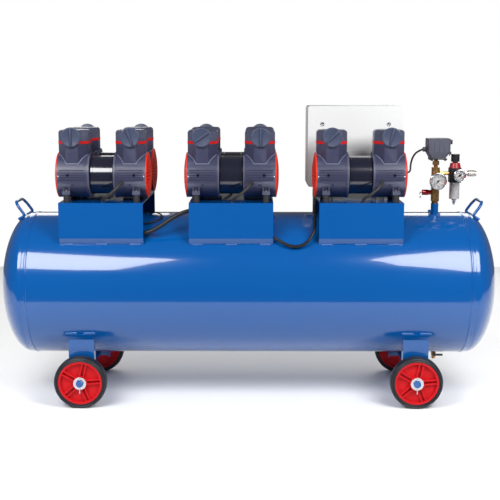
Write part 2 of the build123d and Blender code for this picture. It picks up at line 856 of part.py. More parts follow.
switch_left = 606
switch_right = 684
switch_base_z = 825
switch_top_z = 893
knob_z = 880
with BuildPart() as pressure_switch:
    with BuildSketch(Plane.XY.offset(switch_base_z)):
        with Locations((group_x + 3, group_y)):
            RectangleRounded(52, 44, 8)
    with BuildSketch(Plane.XY.offset(switch_base_z + 22)):
        with Locations(((switch_left + switch_right) / 2, group_y)):
            RectangleRounded(switch_right - switch_left, 60, 8)
    loft()
    with BuildSketch(Plane.XY.offset(switch_base_z + 22)):
        with Locations(((switch_left + switch_right) / 2, group_y)):
            RectangleRounded(switch_right - switch_left, 60, 8)
    extrude(amount=switch_top_z - switch_base_z - 22)
    fillet(pressure_switch.faces().sort_by(Axis.Z)[-1].edges(), 4)
    with BuildSketch(across(switch_left - 12, group_y, 855)):
        Circle(8)
        Circle(3.6, mode=Mode.SUBTRACT)
    extrude(amount=13)
pressure_switch.part.label = "pressure_switch"
export_step(pressure_switch.part, "parts/pressure_switch.step")

with BuildPart() as switch_knob:
    with BuildSketch(across(switch_right + 0.4, group_y, knob_z)):
        Circle(8)
    extrude(amount=4)
    with BuildSketch(across(switch_right + 4.4, group_y, knob_z)):
        Rectangle(5, 15)
    extrude(amount=6)
switch_knob.part.label = "switch_knob"
export_step(switch_knob.part, "parts/switch_knob.step")

regulator = Plane(origin=(regulator_x, group_y, 0))
with BuildPart() as regulator_body:
    with BuildSketch(regulator.offset(743)):
        RectangleRounded(40, 40, 6)
    extrude(amount=49)
    with BuildSketch(regulator.offset(792)):
        Circle(20)
    with BuildSketch(regulator.offset(809)):
        Circle(16)
    loft()
    with BuildSketch(regulator.offset(809)):
        Circle(9)
    extrude(amount=4)
    with BuildSketch(facing_front(regulator_x + 7, group_y - 20, air_line_z - 3)):
        Circle(6)
    extrude(amount=14)
regulator_body.part.label = "regulator_body"
export_step(regulator_body.part, "parts/regulator_body.step")

with BuildPart() as regulator_knob:
    with BuildSketch(regulator.offset(813.4)):
        Circle(14.4)
    extrude(amount=25.6)
    with BuildSketch(regulator.offset(813.4)):
        with PolarLocations(14.6, 20):
            Circle(0.9)
    extrude(amount=18, mode=Mode.SUBTRACT)
    fillet(regulator_knob.faces().sort_by(Axis.Z)[-1].edges(), 1.5)
regulator_knob.part.label = "regulator_knob"
export_step(regulator_knob.part, "parts/regulator_knob.step")

with BuildPart() as regulator_bowl:
    with BuildSketch(regulator.offset(686)):
        Circle(17)
    extrude(amount=57)
    with BuildSketch(regulator.offset(690)):
        Circle(14.5)
    extrude(amount=53, mode=Mode.SUBTRACT)
    with BuildSketch(regulator.offset(680)):
        Circle(8)
    extrude(amount=6)
    with BuildSketch(regulator.offset(680)):
        Circle(3.1)
    extrude(amount=10, mode=Mode.SUBTRACT)
regulator_bowl.part.label = "regulator_bowl"
export_step(regulator_bowl.part, "parts/regulator_bowl.step")

with BuildPart() as bowl_drain:
    with BuildSketch(regulator.offset(666)):
        Circle(3)
    extrude(amount=22)
    with BuildSketch(regulator.offset(668)):
        Circle(4)
    with BuildSketch(regulator.offset(676.5)):
        Circle(7)
    loft()
bowl_drain.part.label = "bowl_drain"
export_step(bowl_drain.part, "parts/bowl_drain.step")

coupler_start = regulator_x + 20
coupler_end = 778
outlet_bore = 5
with BuildPart() as outlet_coupler:
    with BuildSketch(across(coupler_start, group_y, air_line_z)):
        Circle(7)
    extrude(amount=coupler_end - coupler_start)
    with BuildSketch(across(coupler_start + 6, group_y, air_line_z)):
        RegularPolygon(10.5, 6)
    extrude(amount=12)
    with BuildSketch(across(coupler_end - 3, group_y, air_line_z)):
        Circle(9)
    extrude(amount=3)
    with BuildSketch(across(coupler_end - 24, group_y, air_line_z)):
        Circle(outlet_bore)
    extrude(amount=24, mode=Mode.SUBTRACT)
outlet_coupler.part.label = "outlet_coupler"
export_step(outlet_coupler.part, "parts/outlet_coupler.step")

with BuildPart() as coupler_sleeve:
    with BuildSketch(across(coupler_start + 24, group_y, air_line_z)):
        Circle(10.5)
        Circle(7 + running_fit, mode=Mode.SUBTRACT)
    extrude(amount=23)
    chamfer(coupler_sleeve.edges().filter_by(GeomType.CIRCLE).group_by(SortBy.RADIUS)[-1], 1)
coupler_sleeve.part.label = "coupler_sleeve"
export_step(coupler_sleeve.part, "parts/coupler_sleeve.step")

with BuildPart() as drain_cock:
    with BuildSketch(Plane(origin=(drain_x, 0, 124))):
        RegularPolygon(9, 6)
    extrude(amount=12)
    with BuildSketch(Plane(origin=(drain_x, 0, 112))):
        Circle(7)
        Circle(4, mode=Mode.SUBTRACT)
    extrude(amount=12)
    with BuildSketch(facing_front(drain_x, 0, 128)):
        Circle(4.5)
    extrude(amount=14)
drain_cock.part.label = "drain_cock"
export_step(drain_cock.part, "parts/drain_cock.step")

with BuildPart() as drain_handle:
    with BuildSketch(facing_front(drain_x, -14.3, 128)):
        Circle(6)
        with Locations((14, 0)):
            Rectangle(30, 7)
    extrude(amount=3)
drain_handle.part.label = "drain_handle"
export_step(drain_handle.part, "parts/drain_handle.step")

# ---------------------------------------------------------------- cables and hoses

lead_diameter = 9.5
lead_route = [
    (67, -69, 64), (64, -88, 60), (48, -96, 42), (25, -90, 24), (6, -72, 12), (0, -68, -8),
]
hose_diameter = 14
hose_route = [
    (-420, -160, 590), (-374, -172, 584), (-330, -180, 589), (-288, -182, 612),
    (-248, -180, 641), (-208, -176, 660), (-164, -170, 666), (-120, -160, 668),
]
loop_diameter = 5
loop_route = [
    (-412, -24, 641), (-378, -26, 640), (-346, -28, 640), (-314, -40, 638), (-294, -64, 632),
    (-296, -90, 624), (-318, -110, 616), (-348, -120, 611), (-380, -122, 611), (-412, -116, 612),
]
feed_diameter = 10
feed_route = [
    (20, -158, 594), (60, -170, 584), (97, -190, 567), (134, -202, 548), (168, -203, 546),
    (200, -198, 562), (219, -180, 594), (223, -148, 630), (224, -106, 660), (225, -60, 680),
    (226, -12, 688), (227, 26, 695), (229, 52, 713),
]
switch_cable_diameter = 6.5
switch_route = [
    (594, -30, 855), (576, -28, 848), (565, -14, 832), (562, 10, 811), (564, 38, 791),
    (569, 66, 775), (566, 89, 765), (551, 98.5, 762),
]


def tube(route, diameter):
    """A round tube along a route of straight runs joined by the largest tangent arcs."""
    with BuildPart(mode=Mode.PRIVATE) as made:
        with BuildLine():
            FilletPolyline(*route, radius=cable_radii(route))
        start = Vector(*route[0])
        with BuildSketch(Plane(origin=start, z_dir=Vector(*route[1]) - start)):
            Circle(diameter / 2)
        sweep()
    return made.part


with BuildPart() as air_hoses:
    add(tube(hose_route, hose_diameter))
air_hoses.part.label = "air_hoses"
export_step(air_hoses.part, "parts/air_hoses.step")
report_cable("hose", hose_route, hose_diameter, air_hoses.part.volume)

with BuildPart() as power_cables:
    add(tube(loop_route, loop_diameter))
    add(tube(feed_route, feed_diameter))
    add(tube(switch_route, switch_cable_diameter))
    with Locations(*pump_places):
        add(tube(lead_route, lead_diameter))
power_cables.part.label = "power_cables"
export_step(power_cables.part, "parts/power_cables.step")
for name, route, diameter in (
    ("loop", loop_route, loop_diameter),
    ("feed", feed_route, feed_diameter),
    ("switch cable", switch_route, switch_cable_diameter),
    ("pump lead", lead_route, lead_diameter),
):
    report_cable(name, route, diameter, tube(route, diameter).volume)
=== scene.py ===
import math

import bmesh
import bpy
from mathutils import Matrix, Vector


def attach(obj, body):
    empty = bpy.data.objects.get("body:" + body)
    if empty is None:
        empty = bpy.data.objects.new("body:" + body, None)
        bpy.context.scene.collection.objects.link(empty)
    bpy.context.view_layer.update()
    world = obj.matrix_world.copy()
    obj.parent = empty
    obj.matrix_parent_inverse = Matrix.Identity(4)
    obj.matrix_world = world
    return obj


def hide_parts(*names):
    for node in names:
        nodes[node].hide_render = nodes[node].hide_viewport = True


# The looks of a five-pump oil-free air compressor, built round its CAD frame. Metres, +Z up,
# -Y is the front, and everything that isn't a joint's own piece rides on the body "tank".

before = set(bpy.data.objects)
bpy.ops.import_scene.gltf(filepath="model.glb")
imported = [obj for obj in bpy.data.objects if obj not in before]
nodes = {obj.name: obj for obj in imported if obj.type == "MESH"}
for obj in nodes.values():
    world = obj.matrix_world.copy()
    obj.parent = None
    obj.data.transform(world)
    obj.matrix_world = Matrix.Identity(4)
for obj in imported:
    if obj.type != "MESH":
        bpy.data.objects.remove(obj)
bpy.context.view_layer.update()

MM = 0.001
TANK_AXIS = Vector((0, 0, 0.389))
TANK_RADIUS = 0.245
SHELL_HALF = 0.732
FLANGE_END = 0.750
TANK_HALF = 0.850
SADDLE_TOP = 0.689
SADDLE_X = (-0.486, -0.057, 0.372)
PUMP_Y = 0.097
CRANK_HEIGHT = 0.085      # crank axis above the saddle top
BARREL_RADIUS = 0.075
HEAD_X = 0.095
CAP_X = 0.097
CAP_BACK = -0.0642
CAP_HEIGHT = 0.213
WHEEL_X = 0.563
WHEEL_Z = 0.088
SADDLE_FOOT = 0.161        # heights of the welds above the tank's axis
LEG_TOP = -0.137
GROUP = Vector((0.640, -0.030, 0))     # the pressure group's upright
GAUGE_FRONT = -0.084

# How strongly the surround, the panels and the floor's own light shine.
WORLD_GLOW = 0.12
PANEL_GLOW = 11.5
REAR_GLOW = 2.6
FLOOR_POWER = 105

# One entry for each pump: its place, the way its front faces, and its two caps' ridge angles.
PUMPS = [
    (SADDLE_X[0], -PUMP_Y, 1, (90, 110)),
    (SADDLE_X[1], -PUMP_Y, 1, (35, 90)),
    (SADDLE_X[2], -PUMP_Y, 1, (45, 76)),
    (SADDLE_X[0], PUMP_Y, -1, (90, 60)),
    (SADDLE_X[1], PUMP_Y, -1, (80, 90)),
]


# ---------------------------------------------------------------- materials

def new_tree(name):
    """An empty node tree with a Principled shader, and a function that links two sockets."""
    material = bpy.data.materials.new(name)
    material.use_nodes = True
    tree = material.node_tree
    return material, tree, tree.nodes["Principled BSDF"], tree.links.new


def node(tree, kind, **values):
    """A node with its inputs set by name, or its properties where it has no such input."""
    made = tree.nodes.new(kind)
    for key, value in values.items():
        if key in made.inputs:
            made.inputs[key].default_value = value
        else:
            setattr(made, key, value)
    return made


def shade(colour, factor):
    return tuple(min(1.0, channel * factor) for channel in colour) + (1.0,)


def surface(name, colour, rough, metallic=0.0, blotch=6.0, tint=0.12, grain=400.0,
            bump=0.02, coat=0.0, gleam=0.5, edge_highlight=None, dust=0.0, stretch=(1, 1, 1)):
    """A solid material: uneven colour and gloss, fine grain, and a painted highlight on sharp
    edges where asked.
    """
    material, tree, shader, link = new_tree(name)
    shader.inputs["Metallic"].default_value = metallic
    shader.inputs["Coat Weight"].default_value = coat
    shader.inputs["Coat Roughness"].default_value = 0.04
    shader.inputs["Specular IOR Level"].default_value = gleam
    place = node(tree, "ShaderNodeTexCoord")
    mapping = node(tree, "ShaderNodeMapping", Scale=stretch)
    link(place.outputs["Object"], mapping.inputs["Vector"])
    clouds = node(tree, "ShaderNodeTexNoise", Scale=blotch, Detail=5.0, Roughness=0.6)
    fine = node(tree, "ShaderNodeTexNoise", Scale=grain, Detail=3.0)
    link(mapping.outputs["Vector"], clouds.inputs["Vector"])
    link(mapping.outputs["Vector"], fine.inputs["Vector"])
    base = node(tree, "ShaderNodeMix", data_type="RGBA")
    base.inputs[6].default_value = shade(colour, 1 - tint)
    base.inputs[7].default_value = shade(colour, 1 + tint)
    link(clouds.outputs["Fac"], base.inputs[0])
    last_colour = base.outputs[2]
    # Painted highlight: sharp edges, found by pointiness and broken up by the cloud noise, are
    # lightened towards a paler colour.
    if edge_highlight:
        edge = node(tree, "ShaderNodeNewGeometry")
        ramp = node(tree, "ShaderNodeMapRange")
        ramp.inputs["From Min"].default_value = 0.54
        ramp.inputs["From Max"].default_value = 0.66
        link(edge.outputs["Pointiness"], ramp.inputs["Value"])
        edge_highlight_mask = node(tree, "ShaderNodeMath", operation="MULTIPLY")
        link(ramp.outputs["Result"], edge_highlight_mask.inputs[0])
        link(clouds.outputs["Fac"], edge_highlight_mask.inputs[1])
        edge_lit = node(tree, "ShaderNodeMix", data_type="RGBA")
        edge_lit.inputs[7].default_value = (*edge_highlight, 1.0)
        link(edge_highlight_mask.outputs[0], edge_lit.inputs[0])
        link(last_colour, edge_lit.inputs[6])
        last_colour = edge_lit.outputs[2]
    if dust:
        up = node(tree, "ShaderNodeNewGeometry")
        split = node(tree, "ShaderNodeSeparateXYZ")
        link(up.outputs["Normal"], split.inputs["Vector"])
        settle = node(tree, "ShaderNodeMapRange")
        settle.inputs["From Min"].default_value = 0.75
        settle.inputs["To Max"].default_value = dust
        link(split.outputs["Z"], settle.inputs["Value"])
        dusty = node(tree, "ShaderNodeMix", data_type="RGBA")
        dusty.inputs[7].default_value = (0.55, 0.55, 0.55, 1.0)
        link(settle.outputs["Result"], dusty.inputs[0])
        link(last_colour, dusty.inputs[6])
        last_colour = dusty.outputs[2]
    link(last_colour, shader.inputs["Base Color"])
    gloss = node(tree, "ShaderNodeMapRange")
    gloss.inputs["To Min"].default_value = rough[0]
    gloss.inputs["To Max"].default_value = rough[1]
    link(clouds.outputs["Fac"], gloss.inputs["Value"])
    link(gloss.outputs["Result"], shader.inputs["Roughness"])
    relief = node(tree, "ShaderNodeBump", Strength=bump, Distance=0.002)
    link(fine.outputs["Fac"], relief.inputs["Height"])
    link(relief.outputs["Normal"], shader.inputs["Normal"])
    return material


def red_collar_plastic(name, low, colour, red):
    """Black moulded plastic whose parts above a height are the red lock ring."""
    material = surface(name, colour, (0.25, 0.4), grain=900, bump=0.03)
    tree = material.node_tree
    shader = tree.nodes["Principled BSDF"]
    place = node(tree, "ShaderNodeTexCoord")
    split = node(tree, "ShaderNodeSeparateXYZ")
    step = node(tree, "ShaderNodeMath", operation="GREATER_THAN")
    step.inputs[1].default_value = low
    mixed = node(tree, "ShaderNodeMix", data_type="RGBA")
    mixed.inputs[7].default_value = (*red, 1)
    before = shader.inputs["Base Color"].links[0].from_socket
    tree.links.new(place.outputs["Object"], split.inputs["Vector"])
    tree.links.new(split.outputs["Z"], step.inputs[0])
    tree.links.new(step.outputs[0], mixed.inputs[0])
    tree.links.new(before, mixed.inputs[6])
    tree.links.new(mixed.outputs[2], shader.inputs["Base Color"])
    return material


def braid(name, colour):
    """A woven sleeve: a fine cell pattern raises its strands."""
    material = surface(name, colour, (0.45, 0.65), grain=1500, bump=0.1)
    tree = material.node_tree
    shader = tree.nodes["Principled BSDF"]
    place = node(tree, "ShaderNodeTexCoord")
    strands = node(tree, "ShaderNodeTexVoronoi", Scale=700.0)
    relief = node(tree, "ShaderNodeBump", Strength=0.6, Distance=0.001)
    tree.links.new(place.outputs["Object"], strands.inputs["Vector"])
    tree.links.new(strands.outputs["Distance"], relief.inputs["Height"])
    tree.links.new(relief.outputs["Normal"], shader.inputs["Normal"])
    return material


def clear_plastic(name, colour, rough):
    material, tree, shader, link = new_tree(name)
    shader.inputs["Base Color"].default_value = (*colour, 1)
    shader.inputs["Transmission Weight"].default_value = 1.0
    shader.inputs["IOR"].default_value = 1.45
    place = node(tree, "ShaderNodeTexCoord")
    haze = node(tree, "ShaderNodeTexNoise", Scale=90.0, Detail=4.0)
    gloss = node(tree, "ShaderNodeMapRange")
    gloss.inputs["To Min"].default_value = rough[0]
    gloss.inputs["To Max"].default_value = rough[1]
    link(place.outputs["Object"], haze.inputs["Vector"])
    link(haze.outputs["Fac"], gloss.inputs["Value"])
    link(gloss.outputs["Result"], shader.inputs["Roughness"])
    return material


blue = surface("blue_paint", (0.0, 0.081, 0.315), (0.14, 0.2), blotch=3, tint=0.05,
               grain=260, bump=0.01, coat=0.85, gleam=0.3)
# The cast housing gets a painted highlight along its sharp edges, in a paler blue-grey.
cast = surface("cast_housing", (0.041, 0.044, 0.086), (0.26, 0.38), blotch=25, tint=0.1,
               grain=1400, bump=0.12, gleam=0.35, edge_highlight=(0.2, 0.21, 0.28))
# A lighter copy of the cast colour: a painted highlight for the bright lips where the blocks meet
# the barrels.
cast_highlight_paint = surface("cast_painted_highlight", (0.2, 0.21, 0.3), (0.22, 0.34), blotch=25, tint=0.15,
                      grain=1400, bump=0.1)
cap_plastic = surface("cap_plastic", (0.049, 0.061, 0.11), (0.34, 0.46), blotch=30,
                      grain=1800, bump=0.1, gleam=0.35)
gasket = surface("gasket_red", (0.55, 0.01, 0.01), (0.4, 0.55), blotch=40, bump=0.05,
                 gleam=0.3)
guard = surface("guard_red", (0.66, 0.03, 0.014), (0.3, 0.42), blotch=20, tint=0.08,
                grain=700, bump=0.04, gleam=0.25)
wheel_red = surface("wheel_red", (0.56, 0.011, 0.016), (0.4, 0.55), blotch=25,
                    tint=0.12, grain=900, bump=0.06, gleam=0.12)
enamel = surface("stator_black", (0.008, 0.009, 0.022), (0.12, 0.22), blotch=20, tint=0.2,
                 grain=500, bump=0.03, coat=1.0, stretch=(0.3, 1, 1))
tyre_rubber = surface("tyre_rubber", (0.008, 0.009, 0.014), (0.34, 0.55), blotch=18,
                      tint=0.25, grain=1200, bump=0.12, gleam=0.4, dust=0.02)
rubber = surface("foot_rubber", (0.02, 0.02, 0.022), (0.5, 0.7), blotch=40, grain=1500,
                 bump=0.15)
zinc = surface("zinc_steel", (0.62, 0.63, 0.65), (0.18, 0.4), metallic=1.0, blotch=60,
               grain=2500, bump=0.05)
steel = surface("machined_steel", (0.4, 0.4, 0.42), (0.2, 0.35), metallic=1.0, blotch=40,
                grain=2000, bump=0.06, stretch=(8, 1, 1))
alloy = surface("piston_alloy", (0.62, 0.63, 0.65), (0.25, 0.4), metallic=1.0, blotch=40,
                grain=1500, bump=0.08)
white = surface("box_white", (0.68, 0.685, 0.685), (0.38, 0.5), blotch=5, tint=0.02,
                grain=900, bump=0.06)
chrome = surface("lock_chrome", (0.75, 0.76, 0.78), (0.05, 0.14), metallic=1.0, blotch=60,
                 grain=1500, bump=0.01)
brass = surface("brass", (0.6, 0.34, 0.13), (0.18, 0.36), metallic=1.0, blotch=70,
                tint=0.25, grain=1800, bump=0.06)
nickel = surface("nickel_plate", (0.55, 0.5, 0.46), (0.14, 0.3), metallic=1.0, blotch=80,
                 tint=0.15, grain=1800, bump=0.03)
valve_red = surface("valve_red", (0.42, 0.012, 0.012), (0.2, 0.32), metallic=0.5, blotch=60,
                    bump=0.03, coat=0.3)
switch_grey = surface("switch_grey", (0.07, 0.073, 0.105), (0.35, 0.5), blotch=40,
                      grain=1300, bump=0.1)
black = surface("knob_black", (0.014, 0.014, 0.016), (0.28, 0.42), blotch=50, grain=1500,
                bump=0.06)
case_black = surface("gauge_case", (0.02, 0.02, 0.022), (0.2, 0.3), blotch=60, bump=0.02,
                     coat=0.3)
dial_white = surface("dial_white", (0.72, 0.72, 0.72), (0.4, 0.5), blotch=50, tint=0.02,
                     bump=0.01)
dial_ink = surface("dial_ink", (0.015, 0.015, 0.018), (0.45, 0.55), blotch=80, bump=0.01)
dial_red = surface("dial_red", (0.6, 0.02, 0.02), (0.4, 0.5), blotch=80, bump=0.01)
sheath = surface("cable_black", (0.009, 0.009, 0.011), (0.3, 0.45), blotch=30, tint=0.2,
                 grain=900, bump=0.05, gleam=0.35)
sleeve = braid("braided_sleeve", (0.025, 0.024, 0.023))
regulator_black = red_collar_plastic("regulator_black", 0.7921, (0.012, 0.012, 0.014),
                                     (0.3, 0.006, 0.012))
bowl_clear = surface("bowl_guard", (0.6, 0.58, 0.59), (0.2, 0.34), metallic=0.45,
                     blotch=60, tint=0.1, grain=1600, bump=0.04)
lens = clear_plastic("gauge_lens", (1, 1, 1), (0.0, 0.03))


# ---------------------------------------------------------------- mesh helpers

def finish_mesh(name, mesh, material, body="tank", smooth=40, slot=None):
    """Link a mesh as a piece: shaded smooth up to an angle, and riding on its body."""
    piece = bpy.data.objects.new(name, mesh)
    bpy.context.scene.collection.objects.link(piece)
    for polygon in mesh.polygons:
        polygon.use_smooth = True
    mesh.set_sharp_from_angle(angle=math.radians(smooth))
    if material is not None:
        mesh.materials.append(material)
    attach(piece, body)
    return piece


def from_bmesh(name, made, material, **options):
    mesh = bpy.data.meshes.new(name)
    bmesh.ops.recalc_face_normals(made, faces=made.faces)
    made.to_mesh(mesh)
    made.free()
    return finish_mesh(name, mesh, material, **options)


def turning_matrix(origin, axis, twist=0.0):
    """Takes the local X axis to a direction, with a twist about it, at an origin."""
    turned = Vector(axis).to_track_quat("X", "Z").to_matrix().to_4x4()
    return Matrix.Translation(origin) @ turned @ Matrix.Rotation(twist, 4, "X")


def lathe_into(made, profile, origin, axis, segments=64, closed=False):
    """Add a turned shape: the profile is (along, radius) points, end to end."""
    matrix = turning_matrix(origin, axis)
    rings = []
    for along, radius in profile:
        if radius < 1e-6:
            rings.append([made.verts.new(matrix @ Vector((along, 0, 0)))])
            continue
        ring = []
        for step in range(segments):
            angle = 2 * math.pi * step / segments
            point = Vector((along, radius * math.cos(angle), radius * math.sin(angle)))
            ring.append(made.verts.new(matrix @ point))
        rings.append(ring)
    pairs = list(zip(rings, rings[1:]))
    if closed:
        pairs.append((rings[-1], rings[0]))
    for first, second in pairs:
        for step in range(segments):
            after = (step + 1) % segments
            corners = [first[step % len(first)], first[after % len(first)],
                       second[after % len(second)], second[step % len(second)]]
            face = list(dict.fromkeys(corners))
            if len(face) > 2:
                made.faces.new(face)


def lathe(name, profile, origin, axis, material, segments=64, closed=False, **options):
    made = bmesh.new()
    lathe_into(made, profile, origin, axis, segments, closed)
    return from_bmesh(name, made, material, **options)


def block_into(made, size, matrix, bevel=0.0008, segments=2):
    """Add a box with rounded edges."""
    before = set(made.verts)
    scale = Matrix.Diagonal((*size, 1))
    cube = bmesh.ops.create_cube(made, size=1, matrix=matrix @ scale)
    edges = {edge for vertex in cube["verts"] for edge in vertex.link_edges}
    bmesh.ops.bevel(made, geom=list(edges), offset=bevel, segments=segments,
                    affect="EDGES", profile=0.5)
    return set(made.verts) - before


def round_corner(points_before, centre, radius, start, end, steps=5):
    """More profile points along an arc, angles in degrees."""
    for step in range(steps + 1):
        angle = math.radians(start + (end - start) * step / steps)
        points_before.append((centre[0] + radius * math.cos(angle),
                              centre[1] + radius * math.sin(angle)))


def dress(name, material, bevel=0.0, segments=2):
    """Give a CAD node its material and, where it helps, softened edges."""
    piece = nodes[name]
    for place in piece.material_slots:
        place.material = material
    if not piece.material_slots:
        piece.data.materials.append(material)
    if bevel:
        softened = piece.modifiers.new("soft_edges", "BEVEL")
        softened.width = bevel
        softened.segments = segments
        softened.limit_method = "ANGLE"
        softened.angle_limit = math.radians(40)
    return piece


def smooth_line(name, points, diameter, material, resolution=8):
    """A cable: one NURBS line through its route, swept as a round tube."""
    curve = bpy.data.curves.new(name, "CURVE")
    curve.dimensions = "3D"
    curve.bevel_depth = diameter / 2
    curve.bevel_resolution = 5
    curve.use_fill_caps = True
    spline = curve.splines.new("NURBS")
    spline.points.add(len(points) - 1)
    for target, point in zip(spline.points, points):
        target.co = (*point, 1)
    spline.order_u = 3
    spline.use_endpoint_u = True
    spline.resolution_u = resolution
    piece = bpy.data.objects.new(name, curve)
    bpy.context.scene.collection.objects.link(piece)
    curve.materials.append(material)
    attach(piece, "tank")
    return piece


def at_pump(pump, x, y, z):
    """A point given in a pump's own frame, whose origin is on its saddle top."""
    place_x, place_y, facing, _ = pump
    return Vector((place_x + facing * x, place_y + facing * y, SADDLE_TOP + z))


# ---------------------------------------------------------------- camera, light and floor

def make_camera():
    data = bpy.data.cameras.new("camera")
    data.lens = 70.85
    data.sensor_width = 36
    camera = bpy.data.objects.new("camera", data)
    camera.location = (0.025, -3.402, 1.068)
    camera.rotation_euler = (math.radians(90 - 9.46), 0, math.radians(0.35))
    bpy.context.scene.collection.objects.link(camera)
    bpy.context.scene.camera = camera


def panel(name, rows, strength):
    """A soft light sheet that shines on one side: rows of (x, upper point, lower point)."""
    mesh = bpy.data.meshes.new(name)
    points = []
    for x, upper, lower in rows:
        points += [(x, *upper), (x, *lower)]
    faces = [(2 * k, 2 * k + 2, 2 * k + 3, 2 * k + 1) for k in range(len(rows) - 1)]
    mesh.from_pydata(points, [], faces)
    material = bpy.data.materials.new(name)
    material.use_nodes = True
    tree = material.node_tree
    tree.nodes.clear()
    shine = node(tree, "ShaderNodeEmission", Strength=strength)
    dark = node(tree, "ShaderNodeBsdfTransparent")
    side = node(tree, "ShaderNodeNewGeometry")
    mixed = node(tree, "ShaderNodeMixShader")
    output = node(tree, "ShaderNodeOutputMaterial")
    tree.links.new(side.outputs["Backfacing"], mixed.inputs[0])
    tree.links.new(shine.outputs[0], mixed.inputs[1])
    tree.links.new(dark.outputs[0], mixed.inputs[2])
    tree.links.new(mixed.outputs[0], output.inputs["Surface"])
    mesh.materials.append(material)
    sheet = bpy.data.objects.new(name, mesh)
    bpy.context.scene.collection.objects.link(sheet)
    sheet.visible_camera = False
    sheet.visible_shadow = False
    return sheet


def at_height(elevation, distance=2.2, front=-1):
    """A (y, z) point at an angle above the tank's upper front."""
    angle = math.radians(elevation)
    return (front * (0.21 + distance * math.cos(angle)), 0.5 + distance * math.sin(angle))


def make_studio():
    """White surroundings that shine only dimly, two tapered panels in front, two behind."""
    world = bpy.data.worlds.new("studio")
    bpy.context.scene.world = world
    world.use_nodes = True
    tree = world.node_tree
    seen = node(tree, "ShaderNodeLightPath")
    strength = node(tree, "ShaderNodeMapRange")
    strength.inputs["To Min"].default_value = WORLD_GLOW
    strength.inputs["To Max"].default_value = 1.0
    tree.links.new(seen.outputs["Is Camera Ray"], strength.inputs["Value"])
    background = tree.nodes["Background"]
    background.inputs["Color"].default_value = (1, 1, 1, 1)
    tree.links.new(strength.outputs["Result"], background.inputs["Strength"])

    # Each row: place along the tank, then the upper and lower edge's angle above it.
    left = [(-2.3, 60, 32), (-1.27, 60, 31), (-0.99, 55, 28), (-0.755, 51, 28),
            (-0.66, 50, 33), (-0.565, 49.5, 39), (-0.42, 47, 45.5)]
    right = [(0.66, 47, 45.5), (0.72, 50, 43), (0.814, 55, 36), (0.909, 57, 34.4),
             (1.05, 62, 31), (1.19, 62, 26), (2.3, 62, 28)]
    for name, outline in (("left_panel", left), ("right_panel", right)):
        rows = [(x, at_height(upper), at_height(lower)) for x, upper, lower in outline]
        panel(name, rows, PANEL_GLOW)
    for name, outline in (("rear_left", [(-0.5, 34, 20), (-1.9, 38, 16)]),
                          ("rear_right", [(1.9, 38, 16), (0.5, 34, 20)])):
        rows = [(x, at_height(upper, 2.4, 1), at_height(lower, 2.4, 1))
                for x, upper, lower in outline]
        panel(name, rows, REAR_GLOW)

    floor = bpy.data.meshes.new("floor")
    floor.from_pydata([(-3.4, -1.15, 0), (3.4, -1.15, 0), (3.4, 2.4, 0), (-3.4, 2.4, 0)],
                      [], [(0, 1, 2, 3)])
    ground = bpy.data.objects.new("floor", floor)
    floor.materials.append(surface("floor_pale", (0.92, 0.92, 0.92), (0.6, 0.7), tint=0.01,
                                   bump=0.01))
    bpy.context.scene.collection.objects.link(ground)
    only_floor = bpy.data.collections.new("only_floor")
    only_floor.objects.link(ground)
    data = bpy.data.lights.new("floor_light", "AREA")
    data.shape = "RECTANGLE"
    data.size, data.size_y = 8, 6
    data.energy = FLOOR_POWER
    overhead = bpy.data.objects.new("floor_light", data)
    overhead.location = (0, 0.6, 3.0)
    overhead.visible_camera = False
    overhead.visible_glossy = False
    bpy.context.scene.collection.objects.link(overhead)
    overhead.light_linking.receiver_collection = only_floor
    bpy.context.scene.view_settings.view_transform = "Standard"


make_camera()
make_studio()


# ---------------------------------------------------------------- tank

def dome_profile(steps=40):
    """Half the tank's outline from the middle outwards, as (along, radius)."""
    outline = [(0.0, TANK_RADIUS)]
    for step in range(1, 9):
        outline.append((SHELL_HALF * step / 8 - (0.004 if step == 8 else 0), TANK_RADIUS))
    for step in range(9):
        angle = math.pi * step / 8
        outline.append((SHELL_HALF + 0.0035 - 0.0045 * math.cos(angle),
                        TANK_RADIUS + 0.0016 * math.sin(angle)))
    outline.append((FLANGE_END - 0.003, TANK_RADIUS))
    outline.append((FLANGE_END - 0.001, TANK_RADIUS - 0.0009))
    outline.append((FLANGE_END + 0.001, TANK_RADIUS - 0.0009))
    for step in range(2, steps + 1):
        angle = math.pi / 2 * (1 - step / steps)
        outline.append((FLANGE_END + (TANK_HALF - FLANGE_END) * math.cos(angle),
                        TANK_RADIUS * math.sin(angle)))
    outline[-1] = (TANK_HALF, 0.0)
    return outline


half = dome_profile()
whole = [(-along, radius) for along, radius in reversed(half)] + half[1:]
tank_skin = lathe("tank_skin", whole, TANK_AXIS, (1, 0, 0), blue, segments=192,
                  slot="blue_paint", smooth=60)
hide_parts("tank_shell", "tank_ends")


def weld_beads():
    """Short stacked-coin welds at the feet of the saddles and the tops of the legs."""
    made = bmesh.new()
    rows = []
    for x in SADDLE_X:
        for side in (-1, 1):
            for centre in (-0.112, 0.0, 0.112):
                rows.append((x + centre, side, SADDLE_FOOT))
    for x in (-WHEEL_X, WHEEL_X):
        for side in (-1, 1):
            for centre in (-0.03, 0.03):
                rows.append((x + centre, side, LEG_TOP))
    pitch = 0.0052
    for centre, side, height in rows:
        reach = math.sqrt(TANK_RADIUS**2 - height**2)
        for step in range(-3, 4):
            spot = Vector((centre + step * pitch, side * reach, TANK_AXIS.z + height))
            shape = Matrix.Translation(spot) @ Matrix.Diagonal((0.0046, 0.0042, 0.0046, 1))
            bmesh.ops.create_icosphere(made, subdivisions=3, radius=1, matrix=shape)
    return from_bmesh("weld_beads", made, blue, smooth=80, slot="blue_paint")


weld_beads()

for name in ("saddle_left", "saddle_middle", "saddle_right"):
    dress(name, blue, bevel=0.0022, segments=3)
dress("leg_brackets", blue, bevel=0.0012)
dress("axles", blue)
dress("tank_sockets", blue, bevel=0.0008)
dress("axle_fasteners", zinc, bevel=0.0004)


